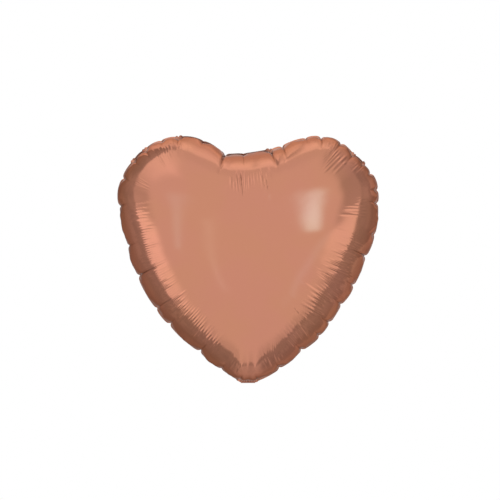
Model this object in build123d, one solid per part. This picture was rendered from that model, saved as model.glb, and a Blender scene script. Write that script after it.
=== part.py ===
from build123d import *
import math
import os

# Heart-shaped foil balloon, inflated.
#
# Frame: millimetres. The origin is the neck, the flat point at the heart's bottom tip, in the
# plane of the heat seal. +X is the balloon's right as seen from the front, +Z is up, and the
# front foil bulges towards -Y.
#
# The real films are a few hundredths of a millimetre thick. Every film here is thickened to a
# few tenths so that it is a solid, and all of that extra thickness lies outside the gas space.

# ---------------------------------------------------------------- driving dimensions
BULGE = 108.5           # greatest height of each foil above the seal plane
FLANGE_WIDTH = 6.0      # heat-sealed border outside the gas space
FOIL = 0.45             # foil wall
SEALANT = 0.9           # fused sealant band between the two foils' borders
FILM = 0.2              # valve film wall

NECK_WIDTH = 20.0       # flat neck at the heart's tip, and the tail below it
TAIL_LENGTH = 65.0      # from the fold line to the tail's open mouth
FOLD_GAP = 2.5          # bare hinge length left free at the fold line
TAIL_SEAL_WIDTH = 2.0   # welded strip along each long edge of the tail
REST_FOLD_DEG = 110.0   # tail folded up behind the heart, counted from hanging straight down

RIBBON_HOLE_RADIUS = 2.5
RIBBON_HOLE_FROM_MOUTH = 8.0

VALVE_WIDTH = 15.0      # inside the tail's side welds, with room to slide in
VALVE_INNER_LENGTH = 95.0
VALVE_START = 1.5       # first height of the inner valve above the fold line
VALVE_WELD_WIDTH = 1.5
VALVE_TAIL_END = 46.0   # how far down the tail the valve films reach
FLAP_CLEARANCE = 0.02   # between the loose rear valve film and the valve's side welds

# Right half of the balloon's rim, from the neck round the lobe to the cleft.
# The rim is mirrored about x = 0.
RIM_HALF = [
    (0.0, 0.0),         # middle of the flat neck
    (NECK_WIDTH / 2, 0.4),
    (29.0, 12.5),
    (53.5, 28.0),
    (102.0, 71.5),
    (145.0, 130.0),
    (172.0, 196.0),
    (182.0, 260.0),     # widest
    (167.0, 309.0),
    (135.0, 335.0),
    (93.5, 345.0),      # lobe's crown
    (55.5, 335.0),
    (25.0, 323.0),
    (0.0, 320.0),       # cleft
]

RING_POINTS = 44        # points on each closed curve of the bulge

# The bulge is a stack of level curves. In section it is a quarter ellipse, from upright at the
# seal to flat at the crown. Low down the levels follow the heart, higher up they run into an
# ellipse, and above the ellipse they shrink to the crown.
LEVEL_STEP_DEG = 7
LEVEL_COUNT = 13
CROWN_CENTRE = (0.0, 195.0)
CROWN_HALF_WIDTH = 72.0
CROWN_HALF_HEIGHT = 63.0
CROWN_SHARE = 0.62      # share of the way from seal to crown where the level is the ellipse


# ---------------------------------------------------------------- outlines
def closed_rim():
    """Rim points anticlockwise, starting at the neck."""
    left_half = [(-x, z) for x, z in reversed(RIM_HALF) if x > 0]
    return RIM_HALF + left_half


def closed_curve(points, y=0.0):
    return Spline([Vector(x, y, z) for x, z in points], periodic=True)


def evenly_spaced(points, count):
    """Points at equal steps along the smooth closed curve through the given points."""
    curve = closed_curve(points)
    spots = [curve.position_at(i / count) for i in range(count)]
    return [(spot.X, spot.Z) for spot in spots]


def inset(points, distance):
    """Each point moved inwards, square to the line between its two neighbours."""
    moved = []
    for i, (x, z) in enumerate(points):
        x0, z0 = points[i - 1]
        x1, z1 = points[(i + 1) % len(points)]
        run = math.hypot(x1 - x0, z1 - z0)
        moved.append((x - distance * (z1 - z0) / run, z + distance * (x1 - x0) / run))
    return moved


def level(index):
    """How far in from seal (0) to crown (1) a level curve lies, and its height as a share."""
    turn = math.radians(index * LEVEL_STEP_DEG)
    return 1 - math.cos(turn), math.sin(turn)


def crown_point(point, scale):
    """The point of the crown ellipse that lies the same way as a rim point."""
    centre_x, centre_z = CROWN_CENTRE
    turn = math.atan2(point[1] - centre_z, point[0] - centre_x)
    x = centre_x + scale * CROWN_HALF_WIDTH * math.cos(turn)
    z = centre_z + scale * CROWN_HALF_HEIGHT * math.sin(turn)
    return x, z


def level_points(seam, share):
    """One level curve of the bulge, as points in the XZ plane."""
    if share >= CROWN_SHARE:
        scale = (1 - share) / (1 - CROWN_SHARE)
        return [crown_point(point, scale) for point in seam]
    way = share / CROWN_SHARE
    goals = [crown_point(point, 1.0) for point in seam]
    return [
        (x + (goal_x - x) * way, z + (goal_z - z) * way)
        for (x, z), (goal_x, goal_z) in zip(seam, goals)
    ]


# ---------------------------------------------------------------- solids
def plate(points, y0, y1):
    """Flat solid between two heights over the seal plane, bounded by a smooth closed curve."""
    face = Face(Wire([closed_curve(points, y0)]))
    return extrude(face, amount=abs(y1 - y0), dir=(0, math.copysign(1, y1 - y0), 0))


def slab(x0, x1, y0, y1, z0, z1):
    box = Box(abs(x1 - x0), abs(y1 - y0), abs(z1 - z0))
    return Pos((x0 + x1) / 2, (y0 + y1) / 2, (z0 + z1) / 2) * box


def bulge(seam, base, wall):
    """Solid bulge towards -Y from y = -base; wall draws every level in by the foil's wall."""
    outline = inset(seam, wall) if wall else seam
    sections = []
    for index in range(LEVEL_COUNT):
        share, rise = level(index)
        y = -(base + rise * (BULGE - wall))
        points = level_points(outline, share)
        sections.append(Face(Wire([closed_curve(points, y)])))
    return loft(sections)


def rim_and_seam():
    rim = closed_rim()
    seam = evenly_spaced(inset(rim, FLANGE_WIDTH), RING_POINTS)
    return rim, seam


def front_foil():
    """Front foil inside the heart: the bulge and its flat border."""
    rim, seam = rim_and_seam()
    base = SEALANT / 2
    border = plate(rim, -base, -(base + FOIL)) - plate(inset(seam, FOIL), -base, -(base + FOIL))
    shell = bulge(seam, base, 0.0) - bulge(seam, base, FOIL)
    return border + shell


def perimeter_seal():
    """Fused sealant band, open across the neck where the valve passes."""
    rim, seam = rim_and_seam()
    half = SEALANT / 2
    band = plate(rim, -half, half) - plate(seam, -half, half)
    gate = (NECK_WIDTH - 2 * TAIL_SEAL_WIDTH) / 2
    return band - slab(-gate, gate, -half, half, -FLANGE_WIDTH, 2 * FLANGE_WIDTH)


def film_heights():
    """Front film, side weld and rear film, each as its lowest and highest y."""
    front = (-SEALANT / 2, -SEALANT / 2 + FILM)
    weld = (front[1], front[1] + FILM)
    rear = (weld[1], weld[1] + FILM)
    return front, weld, rear


def strips(half_width, width, y0, y1, z0, z1):
    """A pair of equal strips along the left and right edges."""
    right = slab(half_width - width, half_width, y0, y1, z0, z1)
    return Compound(children=[right, mirror(right, about=Plane.YZ)])


def inner_valve():
    """The valve inside the heart, along the seal plane."""
    front, weld, rear = film_heights()
    half = VALVE_WIDTH / 2
    top = VALVE_START + VALVE_INNER_LENGTH
    return {
        "valve_front_film": slab(-half, half, *front, VALVE_START, top),
        "valve_side_seals": strips(half, VALVE_WELD_WIDTH, *weld, VALVE_START, top),
        "valve_rear_film": slab(
            -half, half, rear[0] + FLAP_CLEARANCE, rear[1] + FLAP_CLEARANCE, VALVE_START, top
        ),
    }


def hanging_tail():
    """The tail as it hangs, before it is folded up."""
    half = NECK_WIDTH / 2
    inner = SEALANT / 2
    root = -FOLD_GAP
    mouth = -TAIL_LENGTH
    hole_height = mouth + RIBBON_HOLE_FROM_MOUTH
    punch = Pos(0, 0, hole_height) * Rot(90, 0, 0) * Cylinder(RIBBON_HOLE_RADIUS, 10 * SEALANT)
    front, weld, rear = film_heights()
    valve_half = VALVE_WIDTH / 2
    valve_end = -VALVE_TAIL_END
    return {
        "tail_front_ply": slab(-half, half, -inner - FOIL, -inner, root, mouth) - punch,
        "tail_rear_ply": slab(-half, half, inner, inner + FOIL, root, mouth) - punch,
        "tail_side_seals": strips(half, TAIL_SEAL_WIDTH, -inner, inner, root, mouth),
        "tail_valve_front_film": slab(-valve_half, valve_half, *front, root, valve_end),
        "tail_valve_rear_film": slab(-valve_half, valve_half, *rear, root, valve_end),
        "tail_valve_side_seals": strips(valve_half, VALVE_WELD_WIDTH, *weld, root, valve_end),
    }


# ---------------------------------------------------------------- the balloon
nodes = {"front_foil_panel": front_foil()}
nodes["rear_foil_panel"] = mirror(nodes["front_foil_panel"], about=Plane.XZ)
nodes["perimeter_heat_seal"] = perimeter_seal()
nodes.update(inner_valve())
for name, piece in hanging_tail().items():
    nodes[name] = piece.rotate(Axis.X, REST_FOLD_DEG)

os.makedirs("parts", exist_ok=True)
for name, piece in nodes.items():
    export_step(piece, f"parts/{name}.step")
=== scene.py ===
import math

import bpy
import numpy as np
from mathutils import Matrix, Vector
from mathutils.geometry import delaunay_2d_cdt


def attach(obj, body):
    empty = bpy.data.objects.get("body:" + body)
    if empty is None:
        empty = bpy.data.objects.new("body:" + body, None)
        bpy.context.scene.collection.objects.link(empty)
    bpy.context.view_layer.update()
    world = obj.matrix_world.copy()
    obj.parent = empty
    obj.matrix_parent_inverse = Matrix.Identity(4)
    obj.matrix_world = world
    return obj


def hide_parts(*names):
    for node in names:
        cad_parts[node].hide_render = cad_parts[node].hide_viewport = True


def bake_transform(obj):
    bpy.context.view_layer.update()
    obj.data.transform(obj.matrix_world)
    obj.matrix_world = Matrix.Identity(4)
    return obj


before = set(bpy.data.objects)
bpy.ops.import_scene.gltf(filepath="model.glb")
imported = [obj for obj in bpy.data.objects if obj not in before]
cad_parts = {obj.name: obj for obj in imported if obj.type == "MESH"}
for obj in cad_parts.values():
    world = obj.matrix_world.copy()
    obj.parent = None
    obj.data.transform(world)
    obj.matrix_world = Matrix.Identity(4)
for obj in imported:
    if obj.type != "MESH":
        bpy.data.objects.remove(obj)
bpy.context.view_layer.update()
MM = 0.001

# All the shape code below works in millimetres in the part's own frame: +X right, +Z up, the
# front foil towards -Y, and the neck at the origin. The meshes are made in metres.

# ------------------------ the cut foil
# Right half of the seam on the flat, uninflated foil, from below the neck to the cleft.
FLAT_SEAM = [(0, -35.9), (40, -27.2), (79.8, -8.1), (138.9, 40), (190.1, 112.1), (220.5, 197.6),
             (222.6, 276), (200.4, 330.3), (162.6, 365), (112.4, 382.6), (64.4, 382.1),
             (27.5, 378.3), (0, 378.4)]
# Rim of the inflated balloon, right and left halves, from the neck to the cleft.
RIM_RIGHT = [(0, 0.4), (10, 0.6), (28, 10.3), (51.9, 23.6), (79.6, 47.6), (104.8, 68.4),
             (126.5, 101.8), (145, 128), (161.9, 167.2), (176, 202.4), (179.7, 228),
             (181.4, 254), (179.6, 275.2), (167.8, 298.6), (145.8, 319.6), (125.3, 338),
             (101.8, 343), (78.9, 341), (46.6, 330), (21.9, 322.4), (0, 319.2)]
RIM_LEFT = [(0, 0.4), (-10, 0.6), (-24.5, 9.6), (-43, 21.4), (-70, 44.4), (-101.6, 72.4),
            (-126.6, 101.3), (-143.4, 128.6), (-158.8, 158.8), (-167.2, 184.5), (-175.4, 221.8),
            (-180.6, 253.9), (-175, 285.3), (-151.5, 318), (-131.5, 333), (-112.5, 340.2),
            (-91.3, 342.2), (-61, 336.6), (-44, 326.4), (-31, 318.6), (-15, 318.4), (0, 319.2)]
FLANGE = 6.0            # sealed border outside the gas space
FLANGE_SEEN = 3.2       # what is left of it seen from the front, tilted as it is


def smooth_curve(points, count):
    """Cubic spline through the points; at its last point it runs square to the balloon's middle."""
    p = np.array(points, float)
    step = np.linalg.norm(np.diff(p, axis=0), axis=1) ** 0.5
    t = np.concatenate([[0], np.cumsum(step)])
    h = np.diff(t)
    m = len(p)
    a = np.zeros((m, m))
    b = np.zeros((m, 2))
    a[0, 0] = 1
    for i in range(1, m - 1):
        a[i, i - 1:i + 2] = h[i - 1], 2 * (h[i - 1] + h[i]), h[i]
        b[i] = 6 * ((p[i + 1] - p[i]) / h[i] - (p[i] - p[i - 1]) / h[i - 1])
    a[-1, -2:] = h[-1], 2 * h[-1]
    slope = np.array([(p[-1] - p[-2])[0] / h[-1], 0.0])
    b[-1] = 6 * (slope - (p[-1] - p[-2]) / h[-1])
    bend = np.linalg.solve(a, b)
    s = np.linspace(0, t[-1], count)
    k = np.clip(np.searchsorted(t, s, side="right") - 1, 0, m - 2)
    hk = h[k][:, None]
    u = (t[k + 1] - s)[:, None] / hk
    v = (s - t[k])[:, None] / hk
    return u * p[k] + v * p[k + 1] + ((u**3 - u) * bend[k] + (v**3 - v) * bend[k + 1]) * hk**2 / 6


def closed_outline(right, left=None):
    """Anticlockwise outline from the neck up the right side, over the cleft and down the left."""
    up = smooth_curve(right, 2000)
    if left is None:
        down = up[::-1] * (-1, 1)
    else:
        down = smooth_curve(left, 2000)[::-1]
    return np.vstack([up, down[1:-1]])


def closed(poly):
    return np.vstack([poly, poly[:1]])


def running_length(line):
    return np.concatenate([[0], np.cumsum(np.linalg.norm(np.diff(line, axis=0), axis=1))])


def points_at(line, lengths):
    """Points at the given lengths along a line of points."""
    s = running_length(line)
    return np.stack([np.interp(lengths, s, line[:, k]) for k in range(2)], 1)


def spread(poly, count):
    """The outline again, as evenly spaced points."""
    ring = closed(poly)
    return points_at(ring, np.arange(count) / count * running_length(ring)[-1])


def flat_seam(count):
    return spread(closed_outline(FLAT_SEAM), count)


def circle(count):
    turn = np.arange(count) / count * 2 * np.pi
    return np.stack([np.cos(turn), np.sin(turn)], 1)


def share_of(value):
    """Cuts values off at 0 and 1."""
    return np.clip(value, 0, 1)


def inward(poly):
    d = np.roll(poly, -1, 0) - np.roll(poly, 1, 0)
    d /= np.linalg.norm(d, axis=1)[:, None]
    return np.stack([-d[:, 1], d[:, 0]], 1)


def nearest(points, poly):
    """Distance from each point to the nearest outline point, and that point's index."""
    distance = np.empty(len(points))
    index = np.empty(len(points), int)
    for k in range(0, len(points), 2000):
        d = ((points[k:k + 2000, None, :] - poly[None]) ** 2).sum(2)
        index[k:k + 2000] = d.argmin(1)
        distance[k:k + 2000] = np.sqrt(d.min(1))
    return distance, index


def inside(points, poly):
    x, y = points.T
    odd = np.zeros(len(points), bool)
    for (x0, y0), (x1, y1) in zip(poly, np.roll(poly, -1, 0)):
        if y0 != y1:
            odd ^= ((y0 > y) != (y1 > y)) & (x < (x1 - x0) * (y - y0) / (y1 - y0) + x0)
    return odd


# ------------------------ inflating the two foils
FINE_RUN = (7.5, 1600)      # distance between the simulation's points, number of steps
PRESSURE = 2.5e-3           # speed that the gas adds to free foil in each step, mm per step
FIRST_RISE = 0.3            # how far each foil starts off the seam's plane, per mm from the seam
FILLING_SHARE = 0.6         # share of the steps in which the foils fill; then they come to rest
FILLING_DAMPING = 0.995     # speed kept from each step to the next
RESTING_DAMPING = 0.97


def flat_foils(spacing, rows=4):
    """Two equal foils that share their seam: flat points, seam count, interior count, triangles."""
    dense = closed_outline(FLAT_SEAM)
    n = int(round(running_length(closed(dense))[-1] / spacing))
    seam = spread(dense, n)
    fine = flat_seam(1600)
    inner = inward(seam)
    layers = [seam]
    for k in range(1, rows + 1):
        row = seam + inner * (k * spacing)
        layers.append(row[(nearest(row, fine)[0] > k * spacing * 0.985) & inside(row, fine)])
    step = spacing * 1.12
    low, high = seam.min(0), seam.max(0)
    heights = np.arange(low[1], high[1], step * math.sqrt(3) / 2)
    grid = np.array([
        (x + (j % 2) * step / 2, z)
        for j, z in enumerate(heights) for x in np.arange(low[0], high[0], step)
    ])
    grid = grid[inside(grid, fine)]
    grid = grid[nearest(grid, fine)[0] > rows * spacing + 0.55 * step]
    points = thin_out(np.vstack(layers + [grid]), n, 0.6 * spacing)
    tris = triangulate(points, ring_edges(0, n), 1, 1e-9)
    tris = tris[inside(points[tris].mean(1), seam)]
    m = len(points) - n
    rear = np.where(tris < n, tris, tris + m)[:, ::-1]
    return np.vstack([points, points[n:]]), n, m, tris, rear


def ring_edges(first, count):
    return [(first + i, first + (i + 1) % count) for i in range(count)]


def double_area(points, tris):
    """Twice each triangle's area: signed on the flat, in space a vector square to it."""
    a, b, c = (points[tris[:, k]] for k in range(3))
    return np.cross(b - a, c - a)


def triangulate(points, edges, kind, tolerance):
    """Anticlockwise triangles between the points: all of them (kind 0), or inside the edges (1)."""
    made = delaunay_2d_cdt([Vector(p) for p in points], edges, [], kind, tolerance, True)
    order = np.array([source[0] for source in made[3]])
    tris = order[np.array(made[2])]
    area = double_area(points, tris)
    tris[area < 0] = tris[area < 0][:, ::-1]
    return tris[np.abs(area) > 1e-9]


def thin_out(points, fixed, reach):
    """Drops points that lie too near an earlier one; the first few are always kept."""
    keep = np.ones(len(points), bool)
    cells = {}
    for i, p in enumerate(points):
        cx, cz = int(p[0] // reach), int(p[1] // reach)
        near = [j for a in (-1, 0, 1) for b in (-1, 0, 1) for j in cells.get((cx + a, cz + b), ())]
        if i >= fixed and near and ((points[near] - p) ** 2).sum(1).min() < reach**2:
            keep[i] = False
        else:
            cells.setdefault((cx, cz), []).append(i)
    return points[keep]


def sides_of(tris):
    return np.vstack([tris[:, [0, 1]], tris[:, [1, 2]], tris[:, [2, 0]]])


def independent_groups(pairs, count):
    """Edges sorted into groups in which no two share a point, so a group can move at once."""
    used = [0] * count
    group = np.zeros(len(pairs), int)
    for c, (i, j) in enumerate(pairs.tolist()):
        taken = used[i] | used[j]
        k = 0
        while taken >> k & 1:
            k += 1
        group[c] = k
        used[i] |= 1 << k
        used[j] |= 1 << k
    return [pairs[group == k] for k in range(group.max() + 1)]


def inflate(spacing, steps):
    """Blows the two foils up. Film can't stretch but folds freely, so its edges only resist
    being pulled. Returns the flat points and where each point of each foil comes to rest."""
    flat, n, m, front, rear = flat_foils(spacing)
    tris = np.vstack([front, rear])
    count = len(flat)
    groups = []
    edges = np.unique(np.sort(sides_of(tris), 1), axis=0)
    for pairs in independent_groups(edges, count):
        i, j = pairs.T
        groups.append((i.copy(), j.copy(), np.linalg.norm(flat[i] - flat[j], axis=1)))
    area = 0.5 * np.abs(double_area(flat, tris))
    mass = sum(np.bincount(tris[:, k], area / 3, count) for k in range(3))
    mean = mass.mean()
    w = mean / mass
    x = np.stack([flat[:, 0], np.zeros(count), flat[:, 1]], 1)
    rise = FIRST_RISE * nearest(flat, flat_seam(1000))[0]
    x[n:n + m, 1] -= rise[n:n + m]
    x[n + m:, 1] += rise[n + m:]
    v = np.zeros_like(x)
    for step in range(steps):
        push = double_area(x, tris) * (PRESSURE / 6)
        force = np.stack([
            sum(np.bincount(tris[:, k], push[:, axis], count) for k in range(3))
            for axis in range(3)
        ], 1)
        damping = FILLING_DAMPING if step < steps * FILLING_SHARE else RESTING_DAMPING
        v = (v + force * w[:, None] / mean) * damping
        before = x.copy()
        x += v
        for i, j, rest in groups:
            d = x[i] - x[j]
            length = np.sqrt(np.einsum("ij,ij->i", d, d))
            pull = np.maximum(length - rest, 0) / (length * (w[i] + w[j]))
            x[i] -= d * (pull * w[i])[:, None]
            x[j] += d * (pull * w[j])[:, None]
        v = x - before
    front_rest = x[:n + m]
    rear_rest = np.vstack([x[:n], x[n + m:]])
    return flat[:n + m], front_rest, rear_rest


# ------------------------ the smooth foil surface
CONTROL_COLUMNS = 160
CONTROL_ROWS = 24
ROW_CROWDING = 1.25     # above 1, rows crowd towards the seam
# Rows run from the seam into an ellipse on the flat foil, and inside it shrink to the crown.
FLAT_CROWN = (0.0, 205.0)
FLAT_CROWN_HALF = (80.0, 72.0)
CROWN_SHARE = 0.62      # share of the way from seam to crown where the rows reach the ellipse
MID_HEIGHT = 200.0      # above this an outline point near the middle line is at the cleft


def control_grid():
    """Columns from the seam to the crown on the flat foil, as (row, column, 2)."""
    seam = flat_seam(CONTROL_COLUMNS)
    centre = np.array(FLAT_CROWN)
    turn = np.arctan2(*(seam - centre).T[::-1])
    crown = centre + np.stack([np.cos(turn), np.sin(turn)], 1) * FLAT_CROWN_HALF
    rows = []
    for k in range(CONTROL_ROWS + 1):
        share = (k / CONTROL_ROWS) ** ROW_CROWDING
        if share < CROWN_SHARE:
            rows.append(seam + (crown - seam) * (share / CROWN_SHARE))
        else:
            rows.append(centre + (crown - centre) * ((1 - share) / (1 - CROWN_SHARE)))
    return np.array(rows)


def settle(grid, flat, rest, spacing, neighbours=28):
    """Smooth reading of the inflated foil at the grid's points, by a local quadratic fit."""
    spots = grid.reshape(-1, 2)
    out = np.empty((len(spots), 3))
    for k in range(0, len(spots), 1000):
        q = spots[k:k + 1000]
        d2 = ((q[:, None, :] - flat[None]) ** 2).sum(2)
        near = np.argpartition(d2, neighbours, axis=1)[:, :neighbours]
        weight = np.exp(-np.take_along_axis(d2, near, 1) / (1.6 * spacing) ** 2)
        u, v = ((flat[near] - q[:, None]) / spacing).transpose(2, 0, 1)
        basis = np.stack([np.ones_like(u), u, v, u * u, u * v, v * v], 2)
        left = np.einsum("pk,pka,pkb->pab", weight, basis, basis) + 1e-9 * np.eye(6)
        right = np.einsum("pk,pka,pkc->pac", weight, basis, rest[near])
        out[k:k + 1000] = np.linalg.solve(left, right)[:, 0]
    return out.reshape(grid.shape[:2] + (3,))


def spline_weights(at, count, periodic):
    """Matrix that reads a uniform cubic B-spline of count control values at the places given."""
    i = np.floor(at).astype(int)
    f = at - i
    parts = ((1 - f) ** 3, 3 * f**3 - 6 * f**2 + 4, -3 * f**3 + 3 * f**2 + 3 * f + 1, f**3)
    out = np.zeros((len(at), count))
    rows = np.arange(len(at))
    for offset, part in zip((-1, 0, 1, 2), parts):
        k = (i + offset) % count if periodic else i + offset + 1
        np.add.at(out, (rows, np.clip(k, 0, count - 1)), part / 6)
    return out


def refine(control, at_rows, at_columns):
    """The control grid (row, column, values) read finely. The seam row is kept, and columns run
    on smoothly through the crown into the opposite column."""
    opposite = np.roll(control, CONTROL_COLUMNS // 2, axis=1)
    padded = np.concatenate([
        2 * control[:1] - control[1:2], control, opposite[-2:-3:-1], opposite[-3:-4:-1]
    ])
    across = spline_weights(at_rows, len(padded), periodic=False)
    round_ = spline_weights(at_columns * CONTROL_COLUMNS, CONTROL_COLUMNS, periodic=True)
    return np.einsum("rk,kcv,nc->rnv", across, padded, round_, optimize=True)


def base_surface(spacing, steps):
    """Inflated front foil on the control grid, fitted to the rim, and the grid's seam distance."""
    flat, front, rear = inflate(spacing, steps)
    grid = control_grid()
    shape = settle(grid, flat, front, spacing)
    other = settle(grid, flat, rear, spacing)
    shape = (shape + other * (1, -1, 1)) / 2
    mirrored = np.roll(shape[:, ::-1], 1, axis=1) * (-1, 1, 1)
    shape = (shape + mirrored) / 2
    shape[0, :, 1] = 0
    rim = closed_outline(RIM_RIGHT, RIM_LEFT)
    goal = seam_goal(rim, shape[0][:, [0, 2]])
    share = (np.arange(CONTROL_ROWS + 1) / CONTROL_ROWS) ** ROW_CROWDING
    fade = (1 - share) ** 2
    shape[:, :, [0, 2]] += fade[:, None, None] * (goal - shape[0][:, [0, 2]])
    depth = nearest(grid.reshape(-1, 2), flat_seam(3200))[0]
    return shape, depth.reshape(grid.shape[:2])


def seam_goal(rim, seam):
    """Where each seam point belongs: the rim drawn in, by equal shares of each half's length."""
    drawn = spread(rim, 4000)
    drawn = drawn + inward(drawn) * FLANGE_SEEN
    drawn = drawn[nearest(drawn, spread(rim, 4000))[0] > FLANGE_SEEN * 0.98]
    top = np.argmin(np.abs(drawn[:, 0]) + 1e3 * (drawn[:, 1] < MID_HEIGHT))
    tip = np.argmin(np.abs(drawn[:, 0]) + 1e3 * (drawn[:, 1] > MID_HEIGHT))
    drawn = np.roll(drawn, -tip, axis=0)
    top = (top - tip) % len(drawn)
    half = len(seam) // 2
    goal = np.empty_like(seam)
    ring = closed(drawn)
    for part, span in ((slice(0, half + 1), ring[:top + 1]), (slice(half, None), ring[top:])):
        s = running_length(closed(seam)[part])
        placed = points_at(span, s / s[-1] * running_length(span)[-1])
        goal[part] = placed[:len(seam[part])]
    return goal


# ------------------------ puckers along the rim
# Every gather: a point on the rim (x, z), the depth of its groove, how far the groove reaches in
# from the seam, and how deep it nicks the outline.
GATHERS = [
    (43.1, 22, 0.9, 14, 2.0), (72.3, 48.4, 1.0, 18, 2.6), (95.9, 69.2, 0.9, 16, 1.8),
    (112.6, 84.5, 1.3, 24, 2.6), (126.5, 110.9, 0.9, 16, 2.0), (146, 135.9, 1.0, 20, 2.6),
    (159.9, 177.6, 2.4, 30, 3.2), (171, 207, 0.5, 14, 1.0), (177.2, 249.9, 0.9, 14, 2.4),
    (180.7, 268, 0.8, 12, 1.8), (173.8, 293, 0.8, 12, 2.6), (163, 307, 0.7, 12, 1.4),
    (147.3, 318, 1.3, 22, 2.6), (129.3, 331.9, 0.9, 14, 2.2), (101.5, 338.9, 1.6, 20, 2.8),
    (80.6, 337.5, 0.4, 8, 1.4), (47.3, 328.4, 1.5, 18, 2.8), (30.6, 323, 3.0, 34, 3.2),
    (-6, 319, 0.6, 17, 0.3), (-30.6, 319, 3.4, 40, 3.4), (-62, 335, 0.3, 8, 0.6),
    (-96.6, 341, 1.1, 14, 3.2), (-120, 334, 0.4, 10, 1.0), (-141.8, 322, 1.0, 16, 2.4),
    (-158, 308, 0.5, 10, 1.2), (-173, 284, 0.7, 12, 2.4), (-179.3, 245.8, 1.0, 16, 2.2),
    (-166.8, 190.2, 0.7, 12, 2.2), (-150.1, 149.8, 2.0, 42, 3.0), (-128, 103, 1.0, 44, 2.0),
    (-108.4, 82, 0.8, 14, 3.4), (-66.7, 44, 1.0, 20, 3.8), (-38, 18, 0.5, 12, 1.2),
    (-12, 3, 0.5, 10, 1.0), (14, 3, 0.5, 10, 1.0),
]
# The lengths of sealed border that lean forward, each named by a rim point on it.
FORWARD_FLANGE = [(12, 321), (-18, 319), (-47, 328), (-79, 340), (150, 316), (-147, 319)]
FORWARD_TILT = math.radians(66)
# Fine ribs on the front, group by group: from and to along the rim, near and far edge measured
# in from the seam, height, spacing.
RIBS = [
    ((30, 14), (62, 40), 8, 44, 0.85, 3.7), ((62, 40), (95, 69), 8, 56, 1.00, 4.2),
    ((95, 69), (127, 108), 12, 66, 1.15, 4.8), ((127, 108), (160, 172), 8, 58, 1.05, 4.0),
    ((160, 172), (170, 200), 10, 52, 0.45, 3.6), ((177, 226), (178, 244), 14, 54, 0.55, 3.6),
    ((177, 244), (181, 262), 16, 38, 0.40, 3.4), ((168, 300), (156, 314), 4, 20, 0.60, 3.4),
    ((150, 318), (128, 333), 8, 52, 0.95, 4.4), ((128, 333), (101, 340), 3, 34, 1.10, 4.0),
    ((74, 338), (36, 326), 24, 54, 0.45, 3.6), ((22, 322), (7, 320), 27, 74, 2.00, 2.7),
    ((7, 320), (-8, 320), 27, 74, 0.90, 2.7), ((-8, 320), (-26, 321), 27, 74, 1.35, 2.7),
    ((-78, 340), (-100, 341), 8, 30, 0.65, 3.6), ((-106, 339), (-136, 326), 4, 38, 0.90, 4.4),
    ((-166, 296), (-176, 276), 16, 46, 0.50, 3.4), ((-179, 246), (-176, 218), 14, 54, 0.60, 3.8),
    ((-176, 216), (-166, 186), 14, 44, 0.42, 3.4), ((-166, 186), (-129, 104), 14, 48, 0.45, 3.4),
    ((-129, 104), (-95, 66), 10, 60, 1.00, 4.1), ((-95, 66), (-55, 32), 10, 56, 1.00, 3.9),
    ((-40, 18), (-12, 5), 8, 44, 0.70, 3.6),
]
COLUMNS = 1760          # round the rim; halved four times on the way to the crown
RIM_END = 20            # control row where the puckers have faded out and the coarse rows begin
RIM_ROWS = np.linspace(0, RIM_END, 48)
CROWN_ROWS = [np.linspace(RIM_END, CONTROL_ROWS, 10)[1:-1][k:k + 2] for k in range(0, 8, 2)]
FLANGE_ROWS = 4
PLY_GAP = 0.15          # each foil's border lies this far from the middle of the seal
NECK_GAP = 0.24         # the same across the neck, where the valve passes
RIM_SEED, TILT_SEED, FRONT_SEED, REAR_SEED = 3, 5, 11, 23

PILLOW_HEIGHT = 3.2     # tallest pillow between two gathers
PILLOW_SHARE = 0.075    # a short pillow's height, as a share of its length
PILLOW_PEAK = 8.0       # a pillow is tallest this far in from the seam
SEAM_HOLD = 3.0         # the seam holds the foil flat within about this distance
GROOVE_WIDTH = 1.2      # of a gather's groove at the seam
GROOVE_WIDENING = 0.035     # and further in, per mm
GROOVE_DEPTH = 1.5      # times the depth listed with each gather
CREASE_SHADE_WIDTH = 0.75     # of the painted shade line along a groove's bottom
SCALLOP_HEIGHT = 1.6    # outward bow of the seam between two gathers
SCALLOP_SHARE = 0.04
NICK_WIDTH = 2.0        # of the nick at each gather
SEAM_FADE = 28.0        # the foil follows the seam's shifts out to this distance
REAR_TILT = (54, 74)    # degrees that the border leans to the rear, drawn gap by gap
TILT_BLEND = 0.18       # share of a gap between gathers in which the border's tilt changes
NECK_HALF = 8.0         # the border is flat this far from the neck's middle, tilted from twice that
NECK_SHADE = 1.1       # how much painted shade darkens the border at the neck, and how far round
NECK_SHADE_REACH = 13.0
MEETING_TOP = 90.0      # up to this height ribs from both sides would meet on the middle line


def rest_of_turn(values, period):
    return (values + period / 2) % period - period / 2


def bump(t):
    """Smooth hump over 0 to 1, up quickly and down slowly."""
    t = share_of(t)
    up = share_of(t / 0.25)
    down = share_of((1 - t) / 0.45)
    return up * up * (3 - 2 * up) * down * down * (3 - 2 * down)


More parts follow.
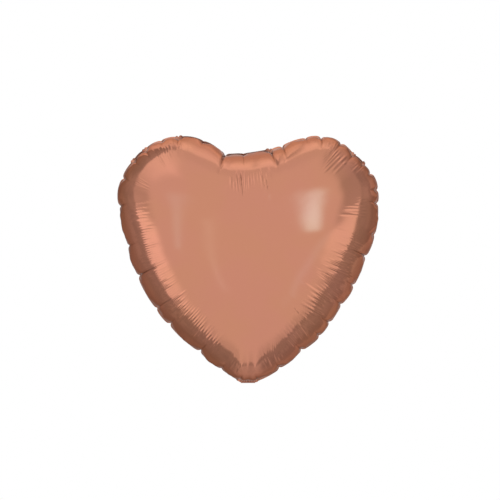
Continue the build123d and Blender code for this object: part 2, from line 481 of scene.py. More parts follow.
class Rim:
    """The seam seen from the front, and everything that is placed along it."""

    def __init__(self, seam):
        self.seam = seam
        run = running_length(closed(seam))
        self.at, self.length = run[:-1], run[-1]
        self.inward = inward(seam)
        self.tangent = np.stack([self.inward[:, 1], -self.inward[:, 0]], 1)
        gathers = sorted((self.place(x, z), depth, reach, nick) for x, z, depth, reach, nick in GATHERS)
        self.gathers = np.array(gathers)

    def place(self, x, z):
        return self.at[nearest(np.array([(x, z)], float), self.seam)[1][0]]

    def locate(self, points):
        """Place along the seam and distance in from it, for points seen from the front."""
        index = nearest(points, self.seam)[1]
        off = points - self.seam[index]
        arc = self.at[index] + (off * self.tangent[index]).sum(1)
        return arc % self.length, (off * self.inward[index]).sum(1)

    def segment(self, arc):
        """Which pair of gathers a place lies between, how far along, and the gap's length."""
        starts = self.gathers[:, 0]
        k = (np.searchsorted(starts, arc, side="right") - 1) % len(starts)
        gap = (np.roll(starts, -1) - starts) % self.length
        return k, ((arc - starts[k]) % self.length) / gap[k], gap[k]


def ribs(rim, groups, arc, reach, rng):
    """Height of the fine ribs. Each rib has its own height and its own ends."""
    out = np.zeros_like(arc)
    for start, end, near, far, height, pitch in groups:
        s0, s1 = rim.place(*start), rim.place(*end)
        span = (s1 - s0) % rim.length
        count = max(2, int(span / pitch))
        place = ((arc - s0) % rim.length) / span
        here = place < 1
        k = np.minimum((place * count).astype(int), count - 1)
        frac = place * count - k
        heights = height * rng.uniform(0.35, 1.15, count)
        nears = near + (far - near) * rng.uniform(-0.12, 0.25, count)
        fars = far - (far - near) * rng.uniform(-0.2, 0.45, count)
        edge = np.minimum(1, 4 * np.minimum(place, 1 - place) * span / 12)
        wave = 0.5 - 0.5 * np.cos(2 * np.pi * frac)
        window = bump((reach - nears[k]) / (fars[k] - nears[k]))
        out += np.where(here, heights[k] * wave * window * edge, 0)
    return out


def random_ribs(rim, rng):
    """Groups of ribs all round, for the foil that has none listed."""
    groups = []
    s = 0.0
    while s < rim.length - 30:
        span = rng.uniform(18, 70)
        ends = [rim.seam[int(v / rim.length * len(rim.seam)) % len(rim.seam)] for v in (s, s + span)]
        near = rng.uniform(8, 20)
        groups.append((ends[0], ends[1], near, near + rng.uniform(14, 28), rng.uniform(0.14, 0.45),
                       rng.uniform(3.4, 4.3)))
        s += span + rng.choice([0, 0, 14, 30])
    return groups


def crumple(rim, arc, depth, rng):
    """Small irregular dents close to the seam."""
    out = np.zeros_like(arc)
    for _ in range(12):
        turns = round(rim.length / rng.uniform(8, 26))
        wave = np.sin(2 * np.pi * (turns * arc / rim.length + rng.uniform()))
        near = rng.uniform(2, 14)
        out += rng.uniform(0.05, 0.16) * wave * np.exp(-((depth - near) / rng.uniform(4, 8)) ** 2)
    return out * (1 - np.exp(-depth / SEAM_HOLD))


def pucker_height(rim, arc, reach, depth, groups, rng):
    """How far the foil stands out from its smooth shape (pillows, grooves and ribs), and how
    much painted shade every point gets for lying in a tight crease."""
    crease_shade = np.zeros_like(arc)
    k, t, gap = rim.segment(arc)
    plump = np.minimum(PILLOW_HEIGHT, PILLOW_SHARE * gap)
    plump = plump * rng.uniform(0.7, 1.15, len(rim.gathers))[k]
    lean = rng.uniform(-0.25, 0.25, len(rim.gathers))[k]
    hump = (1 - (2 * t - 1) ** 2) * (1 + lean * (2 * t - 1))
    out = plump * hump * (depth / PILLOW_PEAK) * np.exp(1 - depth / PILLOW_PEAK)
    out += crumple(rim, arc, depth, rng)
    root = 1 - np.exp(-depth / SEAM_HOLD)
    for place, groove, far, _ in rim.gathers:
        off = rest_of_turn(arc - place + 0.06 * rng.uniform(-1, 1) * reach, rim.length)
        fade = share_of(1 - reach / (far * rng.uniform(0.8, 1.2))) ** 1.3
        width = GROOVE_WIDTH + GROOVE_WIDENING * np.maximum(reach, 0)
        out -= GROOVE_DEPTH * groove * root * fade * np.exp(-np.abs(off) / width)
        # Painted shade: a dark line along each groove's bottom.
        line = min(1, 0.3 + 0.4 * groove) * np.exp(-(off / CREASE_SHADE_WIDTH) ** 2)
        crease_shade = np.maximum(crease_shade, line * share_of(2 * fade))
    return out + ribs(rim, groups, arc, reach, rng), crease_shade


def seam_shift(rim, arc, rng):
    """Outward scallops and nicks of the seam, and its weave to the front and rear."""
    k, t, gap = rim.segment(arc)
    hump = 1 - (2 * t - 1) ** 2
    out = np.minimum(SCALLOP_HEIGHT, SCALLOP_SHARE * gap) * hump
    for place, _, _, nick in rim.gathers:
        off = rest_of_turn(arc - place, rim.length)
        out -= nick * np.exp(-(np.abs(off) / NICK_WIDTH) ** 1.3)
    weave = rng.uniform(0.6, 2.0, len(rim.gathers)) * rng.choice([-1, 1], len(rim.gathers))
    neck = off_neck(rim, arc)
    return out * neck, weave[k] * np.sin(np.pi * t) ** 2 * neck


def flange_tilt(rim, arc, rng):
    """Tilt of the sealed border out of the seam plane, to the rear but for a few lengths; flat
    across the neck."""
    k, t, _ = rim.segment(arc)
    tilt = np.radians(rng.uniform(*REAR_TILT, len(rim.gathers)))
    for x, z in FORWARD_FLANGE:
        tilt[rim.segment(np.array([rim.place(x, z)]))[0][0]] = -FORWARD_TILT
    ahead = np.roll(tilt, -1)
    step = np.clip((t - 1 + TILT_BLEND) / (2 * TILT_BLEND), 0, 0.5)
    back = np.clip((TILT_BLEND - t) / (2 * TILT_BLEND), 0, 0.5)
    lean = tilt[k] * (1 - step - back) + ahead[k] * step + np.roll(tilt, 1)[k] * back
    return lean * off_neck(rim, arc)


def off_neck(rim, arc):
    """0 across the flat neck, 1 along the rest of the rim."""
    return share_of(np.abs(rest_of_turn(arc, rim.length)) / NECK_HALF - 1)


def normals(grid):
    """Outward unit normals of a (row, column, 3) grid of the front foil."""
    d_row = np.gradient(grid, axis=0)
    d_column = np.roll(grid, -1, 1) - np.roll(grid, 1, 1)
    n = np.cross(d_column, d_row)
    return n / np.linalg.norm(n, axis=2)[:, :, None]


def foil_shape():
    """The smooth front foil finely read, and the rim it hangs from."""
    spacing, steps = FINE_RUN
    shape, depth = base_surface(spacing, steps)
    control = np.concatenate([shape, depth[:, :, None]], 2)
    columns = np.arange(COLUMNS) / COLUMNS
    rim_part = refine(control, RIM_ROWS, columns)
    crown = []
    for k, rows in enumerate(CROWN_ROWS):
        crown += list(refine(control, rows, columns[::2 ** (k + 1)])[:, :, :3])
    pole = refine(control, np.array([float(CONTROL_ROWS)]), columns[:1])[0, 0, :3]
    return rim_part[:, :, :3], rim_part[:, :, 3], crown, pole


def puckered_foil(shape, rim, groups, rng, shift, weave):
    """Rings of one foil, from the seam to the crown, as the front foil would lie."""
    grid, depth, crown, pole = shape
    flat = grid[:, :, [0, 2]].reshape(-1, 2)
    arc, reach = rim.locate(flat)
    arc, reach = arc.reshape(depth.shape), reach.reshape(depth.shape)
    # Ribs from the two sides meet on the middle line above the neck, so they fade out there.
    from_middle = share_of((np.abs(grid[:, :, 0]) - 1) / 8)
    middle_fade = np.where(grid[:, :, 2] < MEETING_TOP, from_middle, 1)
    height, crease_shade = pucker_height(rim, arc, reach, depth, groups, rng)
    height *= middle_fade * share_of((RIM_END - RIM_ROWS) / 4)[:, None]
    out = grid + normals(grid) * height[:, :, None]
    fade = share_of(1 - depth / SEAM_FADE) ** 2
    out[:, :, [0, 2]] -= (fade * shift)[:, :, None] * rim.inward
    out[:, :, 1] += fade * weave
    return out, crown, pole, crease_shade


def ply_gap(rim):
    """How far each foil's border lies from the middle of the seal, all round."""
    return (NECK_GAP + (PLY_GAP - NECK_GAP) * off_neck(rim, rim.at))[:, None]


def seal_rows(rim, seam, tilt, gap, widths):
    """Rows of the sealed border, gap to the front (-) or rear (+) of its middle."""
    right, up = rim.inward.T
    across = np.stack([-right * np.cos(tilt), np.sin(tilt), -up * np.cos(tilt)], 1)
    facing = np.stack([right * np.sin(tilt), np.cos(tilt), up * np.sin(tilt)], 1)
    narrow = (FLANGE_SEEN + (FLANGE - FLANGE_SEEN) * off_neck(rim, rim.at)) / FLANGE
    return [seam + across * (w * narrow)[:, None] + facing * gap for w in widths]


# ------------------------ meshes
def add_object(name, data):
    made = bpy.data.objects.new(name, data)
    bpy.context.scene.collection.objects.link(made)
    return made


def stands_for(piece, slot, *nodes):
    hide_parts(*nodes)


def new_piece(name, points, faces, material, sharp_deg=50):
    mesh = bpy.data.meshes.new(name)
    mesh.from_pydata((np.asarray(points) * MM).tolist(), [], faces)
    mesh.materials.append(material)
    mesh.update()
    mesh.polygons.foreach_set("use_smooth", [True] * len(mesh.polygons))
    mesh.set_sharp_from_angle(angle=math.radians(sharp_deg))
    return add_object(name, mesh)


def ring_faces(rings, flip):
    """Faces between rings, outermost first, and from the last ring to the point after it. Each
    ring has as many points as the one before, or half."""
    faces = []
    start = 0
    for outer, inner in zip(rings, rings[1:]):
        n, m = len(outer), len(inner)
        a = start + np.arange(n)
        b = start + n + np.arange(m)
        if n == m:
            faces += np.stack([a, np.roll(a, -1), np.roll(b, -1), b], 1).tolist()
        else:
            a0, a1, a2 = a[::2], a[1::2], np.roll(a[::2], -1)
            b1 = np.roll(b, -1)
            faces += np.stack([a0, a1, b], 1).tolist()
            faces += np.stack([a1, a2, b1], 1).tolist()
            faces += np.stack([a1, b1, b], 1).tolist()
        start += n
    pole = start + len(rings[-1])
    faces += [[i, j, pole] for i, j in ring_edges(start, len(rings[-1]))]
    if flip:
        faces = [face[::-1] for face in faces]
    return faces


def mark_crease_shade(piece, rim, crease_shade):
    """Stores on a foil, point by point, how much painted shade it gets for lying in a crease,
    for its material. The border also gets painted shade at the neck, where the ribbon is tied."""
    values = np.zeros(len(piece.data.vertices))
    # Painted shade on the border across the neck.
    from_neck = np.abs(rest_of_turn(rim.at, rim.length))
    neck = NECK_SHADE * np.exp(-(from_neck / NECK_SHADE_REACH) ** 4)
    neck *= 1 + 0.35 * np.sin(2.1 * rim.at)
    start = FLANGE_ROWS * COLUMNS
    values[:start] = np.tile(neck, FLANGE_ROWS)
    crease_shade = np.maximum(crease_shade, neck * np.exp(-RIM_ROWS[:, None] / 0.8))
    values[start:start + crease_shade.size] = crease_shade.ravel()
    store_crease_shade(piece, values)


# Stores per point how much painted shade the foil material puts there.
def store_crease_shade(piece, values):
    layer = piece.data.attributes.new("crease_shade", "FLOAT", "POINT")
    layer.data.foreach_set("value", values)


# ------------------------ tail and valve
FOLD_DEG = 110.0        # the tail's rest fold, counted from hanging straight down
FOLD_REACH = 2.0        # the films turn within this far of the fold line
FOLD_ROWS = np.arange(-2.4, 2.5, 0.3)    # the films' fine rows
TAIL_LENGTH = 65.0
TAIL_HALF = 10.0
TAIL_TOP = -1.2         # lengths count down the tail from the fold line; this is inside the border
TAIL_SEAL_WIDTH = 2.0
TAIL_PLY = 0.3          # each tail ply lies this far from the middle
PLY_THICK = 0.12
HOLE_RADIUS = 2.5
HOLE_AT = TAIL_LENGTH - 8.0
HOLE_POINTS = 28
RIPPLE = 0.22           # crumple of the tail's plies
VALVE_HALF = 7.5        # of its width
VALVE_WELD = 1.5        # width of its side welds
VALVE_TOP = -96.5       # upper end, inside the heart
VALVE_ROOT = -1.5       # lower end of the loose rear film inside the heart
VALVE_END = 46.0        # lower end, inside the tail
# The valve's films and welds from their front to their rear side, off the middle of the tail.
FRONT_FILM = (-0.12, -0.06)
WELD_FILL = (-0.05, 0.0)
REAR_FILM = (0.01, 0.07)
PATH_STEP = 0.05        # fineness of the fold's middle line


def fold_angle(length):
    t = share_of((length + FOLD_REACH) / (2 * FOLD_REACH))
    return np.radians(FOLD_DEG) * t * t * (3 - 2 * t)


def fold_path():
    """Middle line of the folded films: length down the tail, y, z. It lies in the seal plane
    above the fold, and further down it eases onto the straight tail turned about the origin."""
    length = np.arange(-120, TAIL_LENGTH + 20, PATH_STEP)
    turn = fold_angle(length)
    y = np.cumsum(np.sin(turn)) * PATH_STEP
    z = np.cumsum(-np.cos(turn)) * PATH_STEP
    above, below = -20.0, 30.0
    top, end = np.searchsorted(length, (above, below))
    y -= y[top]
    z -= above + z[top]
    lean = np.radians(FOLD_DEG)
    ease = share_of(length / 8.0)
    y += ease * (below * np.sin(lean) - y[end])
    z += ease * (-below * np.cos(lean) - z[end])
    return length, y, z


FOLD_LENGTH, FOLD_Y, FOLD_Z = fold_path()


def folded(x, length, off):
    """Places points given across the tail, down its length and off its middle towards the rear."""
    turn = fold_angle(length)
    y = np.interp(length, FOLD_LENGTH, FOLD_Y) + off * np.cos(turn)
    z = np.interp(length, FOLD_LENGTH, FOLD_Z) + off * np.sin(turn)
    return np.stack([x, y, z], 1)


def from_hole(points):
    return np.hypot(points[:, 0], points[:, 1] - HOLE_AT)


def film_grid(x0, x1, l0, l1, step, holed=False):
    """Flat film as points (across, down) and triangles, with fine rows at the fold."""
    rows = [v for v in np.arange(l0, l1, step) if abs(v) > FOLD_REACH + 0.5]
    rows += [l0, l1] + [v for v in FOLD_ROWS if l0 < v < l1]
    rows = np.unique(np.round(rows, 3))
    across = np.linspace(x0, x1, max(2, int(round((x1 - x0) / step)) + 1))
    points = np.array([(x, v) for v in rows for x in across])
    edge = []
    if holed:
        points = points[from_hole(points) > HOLE_RADIUS + 0.5]
        edge = ring_edges(len(points), HOLE_POINTS)
        points = np.vstack([points, (0, HOLE_AT) + HOLE_RADIUS * circle(HOLE_POINTS)])
    tris = triangulate(points, edge, 0, 1e-6)
    if holed:
        tris = tris[from_hole(points[tris].mean(1)) > HOLE_RADIUS * 0.97]
    return points, tris


def border_edges(tris):
    """Edges that only one triangle has, in that triangle's direction."""
    sides = [tuple(side) for side in sides_of(tris).tolist()]
    seen = set(sides)
    return [(a, b) for a, b in sides if (b, a) not in seen]


def film_solid(points, tris, front, rear):
    """Closed thin solid between two offsets; each offset is a number or one value per point."""
    x, length = points.T
    count = len(points)
    faces = tris[:, ::-1].tolist() + (tris + count).tolist()
    faces += [[a, b, b + count, a + count] for a, b in border_edges(tris)]
    return np.vstack([folded(x, length, front), folded(x, length, rear)]), faces


def tail_ripple(points, phase):
    """Slight crumple of the tail's films, none at the fold and the side seals."""
    x, length = points.T
    inner = share_of(1 - (np.abs(x) / (TAIL_HALF - TAIL_SEAL_WIDTH)) ** 2)
    down = share_of((length - 3) / 10)
    wave = np.sin(length * 0.32 + 0.25 * x + phase) + 0.6 * np.sin(length * 0.71 - 0.4 * x)
    return RIPPLE * inner * down * (1.1 + wave)


def cross_fold(piece):
    """Bakes a piece's placement into its mesh; its points already follow the fold between the heart and
    the tail.
    """
    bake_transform(piece)


def place_tail_plies(foil):
    """The two foil plies of the tail, with the ribbon hole punched through both."""
    grid, tris = film_grid(-TAIL_HALF, TAIL_HALF, TAIL_TOP, TAIL_LENGTH, 1.25, holed=True)
    plies = (("tail_front_foil", "tail_front_ply", -1, 0.4),
             ("tail_rear_foil", "tail_rear_ply", 1, 2.2))
    for name, node, side, phase in plies:
        inner = TAIL_PLY + tail_ripple(grid, phase)
        front, rear = np.sort([side * inner, side * (inner + PLY_THICK)], axis=0)
        piece = new_piece(name, *film_solid(grid, tris, front, rear), foil, 40)
        # Painted shade: the plies are darker within a few mm of the fold line.
        store_crease_shade(piece, np.tile(0.85 * np.exp(-(grid[:, 1] / 3.5) ** 2), 2))
        stands_for(piece, "tail_foil", node)
        cross_fold(piece)


def edge_strips(half, width, l0, l1, front, rear):
    """Thin strips along both long edges, as one set of points and faces."""
    points, faces = np.empty((0, 3)), []
    for x0, x1 in ((-half, -half + width), (half - width, half)):
        strip, strip_faces = film_solid(*film_grid(x0, x1, l0, l1, 2.0), front, rear)
        faces += [[k + len(points) for k in face] for face in strip_faces]
        points = np.vstack([points, strip])
    return points, faces


def film(l0, l1, front, rear):
    """One valve film; it waves a little away from the fold."""
    grid, tris = film_grid(-VALVE_HALF, VALVE_HALF, l0, l1, 2.0)
    away = share_of((np.abs(grid[:, 1]) - 6) / 10)
    wave = 0.05 * away * np.sin(grid[:, 1] * 0.35) * np.cos(grid[:, 0] * 0.2)
    return film_solid(grid, tris, front + wave, rear + wave)


def place_tail_and_valve(foil, seal, clear, weld):
    place_tail_plies(foil)
    inner = TAIL_PLY - 0.01
    seals = edge_strips(TAIL_HALF, TAIL_SEAL_WIDTH, TAIL_TOP, TAIL_LENGTH, -inner, inner)
    front_film = film(VALVE_TOP, VALVE_END, *FRONT_FILM)
    welds = edge_strips(VALVE_HALF, VALVE_WELD, VALVE_TOP, VALVE_END, *WELD_FILL)
    tail_film = film(VALVE_ROOT + 0.1, VALVE_END, *REAR_FILM)
    over_fold = (
        ("tail_seals", seals, seal, "sealant", ["tail_side_seals"]),
        ("valve_front_clear_film", front_film, clear, "valve_film",
         ["valve_front_film", "tail_valve_front_film"]),
        ("valve_welds", welds, weld, "film_weld", ["valve_side_seals", "tail_valve_side_seals"]),
        ("valve_rear_clear_film_tail", tail_film, clear, "valve_film", ["tail_valve_rear_film"]),
    )
    for name, mesh, material, slot, nodes in over_fold:
        piece = new_piece(name, *mesh, material)
        stands_for(piece, slot, *nodes)
        cross_fold(piece)
    flap = new_piece("valve_rear_clear_film", *film(VALVE_TOP, VALVE_ROOT, *REAR_FILM), clear)
    stands_for(flap, "valve_film", "valve_rear_film")
    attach(flap, "valve_flap")


# ------------------------ materials
class Nodes:
    """Short ways to build a node tree."""

    def __init__(self, tree):
        self.tree = tree
        tree.nodes.clear()

    def add(self, kind, **settings):
        node = self.tree.nodes.new(kind)
        for key, value in settings.items():
            setattr(node, key, value)
        return node

    def put(self, value, socket):
        if isinstance(value, bpy.types.NodeSocket):
            self.tree.links.new(value, socket)
        else:
            socket.default_value = value

    def fill(self, node, values):
        """Sets or links a node's inputs, given by name or number."""
        for key, value in values.items():
            self.put(value, node.inputs[key])
        return node.outputs

    def math(self, operation, *values):
        node = self.add("ShaderNodeMath", operation=operation)
        return self.fill(node, dict(enumerate(values)))[0]

    def times(self, a, b):
        return self.math("MULTIPLY", a, b)

    def plus(self, a, b):
        return self.math("ADD", a, b)

    def minus(self, a, b):
        return self.math("SUBTRACT", a, b)

    def step(self, value, low, high, start=0.0, end=1.0):
        """Smooth change from start to end as value goes from low to high."""
        node = self.add("ShaderNodeMapRange", interpolation_type="SMOOTHSTEP")
        given = {"Value": value, "From Min": low, "From Max": high, "To Min": start, "To Max": end}
        return self.fill(node, given)[0]

    def noise(self, where, scale, detail=3.0, roughness=0.5):
        node = self.add("ShaderNodeTexNoise")
        given = {"Vector": where, "Scale": scale, "Detail": detail, "Roughness": roughness}
        return self.fill(node, given)["Fac"]

    def tint(self, colour, amount):
        """A colour made lighter or darker."""
        return self.fill(self.add("ShaderNodeVectorMath", operation="SCALE"), {0: colour, 3: amount})[0]

    def mix(self, share, a, b, blend="MIX"):
        node = self.add("ShaderNodeMix", data_type="RGBA", blend_type=blend)
        return self.fill(node, {0: share, 6: a, 7: b})[2]

    def relief(self, height, strength, distance):
        given = {"Height": height, "Strength": strength, "Distance": distance}
        return self.fill(self.add("ShaderNodeBump"), given)[0]


def new_material(name):
    material = bpy.data.materials.new(name)
    material.use_nodes = True
    nodes = Nodes(material.node_tree)
    shader = nodes.add("ShaderNodeBsdfPrincipled")
    out = nodes.add("ShaderNodeOutputMaterial")
    nodes.put(shader.outputs[0], out.inputs[0])
    where = nodes.add("ShaderNodeTexCoord").outputs["Object"]
    return material, nodes, shader, where


# The foil's colours. The first two are its own, in large soft patches, and so is the edge tint; the
# crease shade, the in-foil tone and the deep glow are painted light.
FOIL_COLOUR = (0.825, 0.352, 0.219, 1)
FOIL_PINK = (0.830, 0.344, 0.229, 1)
FOIL_EDGE = (0.56, 0.41, 0.36, 1)        # the metal's own tint at a grazing angle
FOIL_CREASE_SHADE = (0.26, 0.10, 0.07, 1)      # painted shade at the bottom of a tight crease
PAINTED_FOIL_IN_FOIL_TONE = (0.78, 0.78, 0.78, 1)     # painted neutral reflection tone for foil seen mirrored in foil, not its own colour
FOIL_DEEP_GLOW = (0.28, 0.28, 0.28, 1)        # painted glow standing in for the light left over after four mirrorings between foils
LAST_DEPTH = 3.5         # between the third mirroring and the fourth


def foil_material():
    """Satin metallised film: coloured metal, very fine grain, faint handling marks, with painted
    shade in tight creases. Foil seen in foil is painted a near neutral reflection tone, or several
    mirrorings would turn the deep creases blood red, and the last mirroring ends in a painted glow."""
    material, n, shader, where = new_material("satin_rose_gold_foil_and_painted_shade")
    patches = n.noise(where, 14.0, 2.0)
    grain = n.noise(where, 1400.0, 2.0, 0.6)
    haze = n.noise(where, 38.0, 5.0, 0.6)
    marks = n.noise(where, 90.0, 3.0)
    crease_shade = n.add("ShaderNodeAttribute", attribute_name="crease_shade").outputs["Fac"]
    tone = n.mix(n.step(patches, 0.35, 0.65), FOIL_COLOUR, FOIL_PINK)
    # Painted shade: tight creases darken the colour.
    tone = n.mix(n.times(crease_shade, 0.72), tone, FOIL_CREASE_SHADE)
    path = n.add("ShaderNodeLightPath").outputs
    mirrored = n.math("MAXIMUM", path["Is Glossy Ray"], path["Is Diffuse Ray"])
    n.fill(shader, {
        # Rays mirrored off other surfaces see a painted neutral reflection tone instead of the foil's
        # colour.
        "Base Color": n.mix(mirrored, tone, PAINTED_FOIL_IN_FOIL_TONE),
        "Metallic": 1.0,
        "Roughness": n.plus(n.step(haze, 0.3, 0.75, 0.085, 0.125), n.times(grain, 0.02)),
        "Specular Tint": n.mix(mirrored, FOIL_EDGE, (1, 1, 1, 1)),
        # Painted glow: after the last mirroring the foil emits in place of reflected light.
        "Emission Color": FOIL_DEEP_GLOW,
        "Emission Strength": n.math("GREATER_THAN", path["Ray Depth"], LAST_DEPTH),
        "Normal": n.relief(n.plus(grain, n.times(marks, 1.5)), 0.04, 0.0004),
    })
    return material


def seal_material():
    """Fused sealant between the foils, milky with a soft sheen."""
    material, n, shader, where = new_material("fused_sealant")
    cloud = n.noise(where, 220.0, 3.0)
    n.fill(shader, {
        "Base Color": n.mix(cloud, (0.31, 0.14, 0.10, 1), (0.38, 0.18, 0.13, 1)),
        "Roughness": n.step(cloud, 0.2, 0.8, 0.38, 0.55),
        "Subsurface Weight": 0.3,
        "Subsurface Scale": 0.002,
    })
    return material


def film_material(name, haze):
    """Clear soft film with a slight haze and drag marks."""
    material, n, shader, where = new_material(name)
    marks = n.noise(where, 160.0, 4.0)
    n.fill(shader, {
        "Base Color": (0.90, 0.93, 0.95, 1),
        "Roughness": n.step(marks, 0.2, 0.8, 0.10 + haze * 0.2, 0.22 + haze * 0.3),
        "Transmission Weight": 1.0 - haze,
        "IOR": 1.50,
        "Normal": n.relief(marks, 0.1, 0.0002),
    })
    return material


def floor_material():
    """Pale matt floor that fades out before its edge and isn't seen from below."""
    material, n, shader, where = new_material("studio_floor")
    out = n.fill(n.add("ShaderNodeVectorMath", operation="LENGTH"), {0: where})["Value"]
    seen = n.step(out, 0.55 * FLOOR_HALF * MM, 0.98 * FLOOR_HALF * MM, 1.0, 0.0)
    below = n.add("ShaderNodeNewGeometry").outputs["Backfacing"]
    n.fill(shader, {
        "Base Color": n.mix(n.noise(where, 3.0), (0.88, 0.88, 0.88, 1), (0.91, 0.91, 0.91, 1)),
        "Roughness": 0.85,
        "Alpha": n.times(seen, n.minus(1.0, below)),
    })
    return material


# ------------------------ the balloon
def place_balloon():
    foil = foil_material()
    seal = seal_material()
    shape = foil_shape()
    grid = shape[0]
    rim = Rim(grid[0][:, [0, 2]])
    shift, weave = seam_shift(rim, rim.at, np.random.RandomState(RIM_SEED))
    tilt = flange_tilt(rim, rim.at, np.random.RandomState(TILT_SEED))
    widths = np.linspace(FLANGE, 0, FLANGE_ROWS, endpoint=False)
    foils = (("front_foil", "front_foil_panel", -1, RIBS, FRONT_SEED),
             ("rear_foil", "rear_foil_panel", 1, None, REAR_SEED))
    for name, node, side, groups, seed in foils:
        rng = np.random.RandomState(seed)
        if groups is None:
            groups = random_ribs(rim, rng)
        sheet, crown, pole, crease_shade = puckered_foil(shape, rim, groups, rng, shift, weave * -side)
        rings = list(sheet) + crown
        if side > 0:
            rings = [ring * (1, -1, 1) for ring in rings]
            pole = pole * (1, -1, 1)
        gap = side * ply_gap(rim)
        border = seal_rows(rim, rings[0], tilt, gap, widths)
        rings[0] = rings[0] + gap * (0, 0.8, 0)
        rings = border + rings
        points = np.vstack(rings + [pole[None]])
        piece = new_piece(name, points, ring_faces(rings, side > 0), foil)
        mark_crease_shade(piece, rim, crease_shade)
        stands_for(piece, name, node)
        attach(piece, "heart")
    seam = sheet[0] * (1, -1, 1)
    place_seal(rim, seam, tilt, seal)
    place_tail_and_valve(foil, seal, film_material("clear_valve_film", 0.1),
                         film_material("welded_valve_film", 0.45))


def place_seal(rim, seam, tilt, material):
    """Closed band of fused sealant between the two foils' borders, open across the neck."""
    gap = 0.9 * ply_gap(rim)
    widths = np.array([0.3, 2.2, 4.1, FLANGE - 0.05])
    front = seal_rows(rim, seam, tilt, -gap, widths)
    rear = seal_rows(rim, seam, tilt, gap, widths[::-1])
    rows = np.array(front + rear)
    neck = np.abs(rows[0][:, 0]) < TAIL_HALF - TAIL_SEAL_WIDTH
    neck &= rows[0][:, 2] < MID_HEIGHT
    rows = rows[:, ~neck]
    points = rows.reshape(-1, 3)
    k, count = rows.shape[:2]
    faces = []
    for r in range(k):
        a = r * count + np.arange(count - 1)
        b = ((r + 1) % k) * count + np.arange(count - 1)
        faces += np.stack([a, a + 1, b + 1, b], 1)[:, ::-1].tolist()
    faces.append([r * count for r in range(k)])
    faces.append([r * count + count - 1 for r in range(k)][::-1])
    piece = new_piece("heat_seal", points, faces, material, 40)
    stands_for(piece, "sealant", "perimeter_heat_seal")
    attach(piece, "heart")


# ------------------------ studio
VIEW_WIDTH = 695.0      # seen across the picture, at the balloon
AIM = (2.8, 184.6)      # what the camera looks at, x and z
LENS = 100.0
SENSOR = 36.0
FLOOR_DROP = 600.0      # the balloon floats this far above the floor
FLOOR_HALF = 2200.0     # its far edge stays below the picture


def place_camera():
    data = bpy.data.cameras.new("camera")
    data.lens, data.sensor_width = LENS, SENSOR
    camera = add_object("camera", data)
    distance = VIEW_WIDTH * LENS / SENSOR
    camera.location = AIM[0] * MM, -distance * MM, AIM[1] * MM
    camera.rotation_euler = math.pi / 2, 0, 0
    bpy.context.scene.camera = camera


# The studio as the foil sees it, all in degrees. Every row: direction round the line of sight
# (0 right, 90 up), how far from the camera the middle tone ends, the band's light, where the
# band ends, the light beyond it, where that ends, and the light behind the balloon.
STUDIO = [
    (0, 52, 0.86, 87, 0.33, 150, 0.56), (5, 54, 0.82, 88, 0.34, 140, 0.56),
    (9, 58, 0.46, 92, 0.38, 122, 0.52), (40, 62, 0.44, 96, 0.36, 120, 0.42),
    (57, 70, 0.56, 102, 0.58, 128, 0.74), (72, 82, 0.66, 101, 0.86, 140, 0.78),
    (96, 86, 0.66, 103, 0.84, 150, 0.80), (101, 80, 0.72, 102, 0.46, 111, 0.88),
    (118, 62, 0.88, 98, 0.37, 124, 0.84), (135, 66, 0.80, 99, 0.36, 142, 0.80),
    (148, 68, 0.66, 100, 0.36, 158, 0.56), (162, 66, 0.52, 97, 0.36, 162, 0.46),
    (176, 66, 0.60, 92, 0.36, 160, 0.44), (181, 66, 0.98, 91, 0.36, 160, 0.44),
    (200, 68, 0.96, 99, 0.35, 156, 0.44), (222, 73, 0.80, 100, 0.33, 150, 0.44),
    (240, 74, 0.60, 86, 0.32, 146, 0.42), (258, 73, 0.60, 90, 0.33, 140, 0.42),
    (267, 80, 0.68, 94, 0.34, 139, 0.42), (271, 98, 0.70, 102, 0.38, 138, 0.42),
    (275, 80, 0.68, 94, 0.36, 136, 0.42), (284, 74, 0.60, 90, 0.34, 134, 0.42),
    (302, 74, 0.56, 83, 0.33, 134, 0.44), (322, 74, 0.56, 87, 0.33, 132, 0.52),
    (327, 70, 0.62, 88, 0.33, 130, 0.50), (332, 64, 0.70, 89, 0.44, 126, 0.50),
    (338, 58, 0.77, 90, 0.34, 120, 0.48), (350, 52, 0.86, 89, 0.33, 140, 0.58),
    (360, 52, 0.86, 87, 0.33, 150, 0.56),
]
MIDDLE_LIGHT = 0.70
# Soft windows seen in the foil: centre right and up, lean of its sides, half width, how much
# it narrows upwards, half height, softness, side (1 before the foil, -1 behind), added light.
WINDOWS = [
    ((0.530, 0.372), -0.18, 0.054, 0.13, 0.235, 0.052, 1, (0.20, 0.68, 0.94)),
    ((-0.62, 0.20), 0.26, 0.035, 0.0, 0.32, 0.05, 1, (0.03, 0.15, 0.21)),
    ((-0.29, -0.12), -0.30, 0.016, 0.0, 0.34, 0.035, 1, (0.07, 0.17, 0.20)),
    ((0.60, -0.30), 0.50, 0.05, 0.0, 0.30, 0.09, 1, (0.02, 0.08, 0.14)),
    ((0.00, -0.86), 0.0, 0.36, 0.0, 0.16, 0.06, -1, (0.14, 0.14, 0.14)),
]


def by_direction(n, share, rows):
    """Reads a table row by row round the line of sight: a colour ramp's four channels."""
    ramp = n.add("ShaderNodeValToRGB")
    stops = ramp.color_ramp.elements
    while len(stops) < len(rows):
        stops.new(0.5)
    for stop, (deg, *values) in zip(stops, rows):
        stop.position = deg / 360
        stop.color = values
    n.put(share, ramp.inputs[0])
    split = n.fill(n.add("ShaderNodeSeparateColor"), {0: ramp.outputs["Color"]})
    return list(split) + [ramp.outputs["Alpha"]]


def in_view():
    """Direction of a ray as the camera sees it: the node tree, the vector and its parts."""
    world = bpy.data.worlds.new("studio")
    bpy.context.scene.world = world
    world.use_nodes = True
    n = Nodes(world.node_tree)
    turn = n.add("ShaderNodeVectorTransform", vector_type="VECTOR", convert_from="WORLD",
                 convert_to="CAMERA")
    direction = n.add("ShaderNodeTexCoord").outputs["Generated"]
    turned = n.fill(turn, {0: direction})[0]
    return n, turned, n.fill(n.add("ShaderNodeSeparateXYZ"), {0: turned})


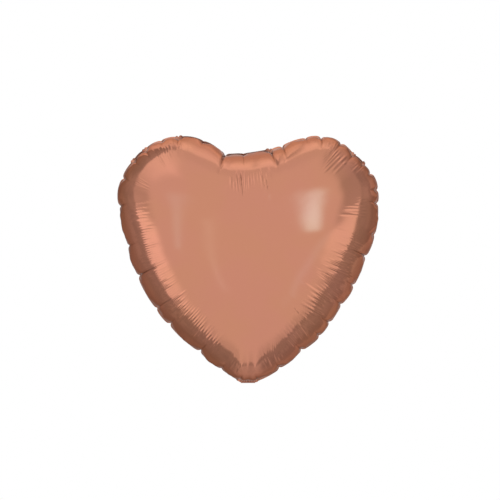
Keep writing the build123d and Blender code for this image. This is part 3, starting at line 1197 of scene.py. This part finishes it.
def studio_light(n, turned, x, y, back):
    """The tones that the foil mirrors, before the windows are added."""
    away = n.math("DIVIDE", n.math("ARCCOSINE", back), math.pi)
    turns = n.math("DIVIDE", n.math("ARCTAN2", y, x), 2 * math.pi)
    turns = n.math("FRACT", n.plus(turns, 1.0))
    near = [(deg, v1, v2, t2 / 180, t1 / 180) for deg, t1, v1, t2, v2, t3, v3 in STUDIO]
    far = [(deg, v3, t3 / 180, 0, 1) for deg, t1, v1, t2, v2, t3, v3 in STUDIO]
    band, beyond, band_end, middle_end = by_direction(n, turns, near)
    behind, beyond_end = by_direction(n, turns, far)[:2]
    first = n.step(n.minus(away, middle_end), -0.035, 0.035)
    second = n.step(n.minus(away, band_end), -0.008, 0.008)
    third = n.step(n.minus(away, beyond_end), -0.012, 0.012)
    light = n.mix(first, (MIDDLE_LIGHT,) * 3 + (1,), band)
    light = n.mix(second, light, beyond)
    light = n.mix(third, light, behind)
    mottle = n.step(n.noise(turned, 3.6, 3.0, 0.55), 0.3, 0.7, 0.88, 1.14)
    return n.tint(light, n.plus(n.times(n.minus(mottle, 1.0), second), 1.0))


def add_windows(n, light, x, y, back):
    for (right, up), lean, wide, narrowing, high, soft, side, tint in WINDOWS:
        off_up = n.minus(y, up)
        off_right = n.minus(n.minus(x, right), n.times(off_up, lean))
        off_right = n.plus(n.math("ABSOLUTE", off_right), n.times(off_up, narrowing))
        across = n.step(off_right, wide - soft, wide + soft, 1.0, 0.0)
        tall = n.step(n.math("ABSOLUTE", off_up), high - soft, high + soft, 1.0, 0.0)
        share = n.times(n.times(across, tall), n.step(back, 0.1 * side, 0.2 * side))
        light = n.mix(share, light, tint + (1,), "ADD")
    return light


def place_world():
    """Glossy rays see the studio; everything else is lit by plain white."""
    n, turned, (x, y, z) = in_view()
    back = n.times(z, -1.0)
    light = add_windows(n, studio_light(n, turned, x, y, back), x, y, back)
    glow = n.fill(n.add("ShaderNodeBackground"), {0: light})[0]
    plain = n.fill(n.add("ShaderNodeBackground"), {0: (1, 1, 1, 1)})[0]
    glossy = n.add("ShaderNodeLightPath").outputs["Is Glossy Ray"]
    seen = n.fill(n.add("ShaderNodeMixShader"), {0: glossy, 1: plain, 2: glow})[0]
    n.fill(n.add("ShaderNodeOutputWorld"), {0: seen})


def place_floor():
    ring = np.pad(circle(96) * FLOOR_HALF, ((0, 0), (0, 1)))
    floor = new_piece("floor", ring, [list(range(96))], floor_material())
    floor.location.z = -FLOOR_DROP * MM
    floor.visible_glossy = False


place_balloon()
place_camera()
place_world()
place_floor()
bpy.context.scene.view_settings.view_transform = "Standard"
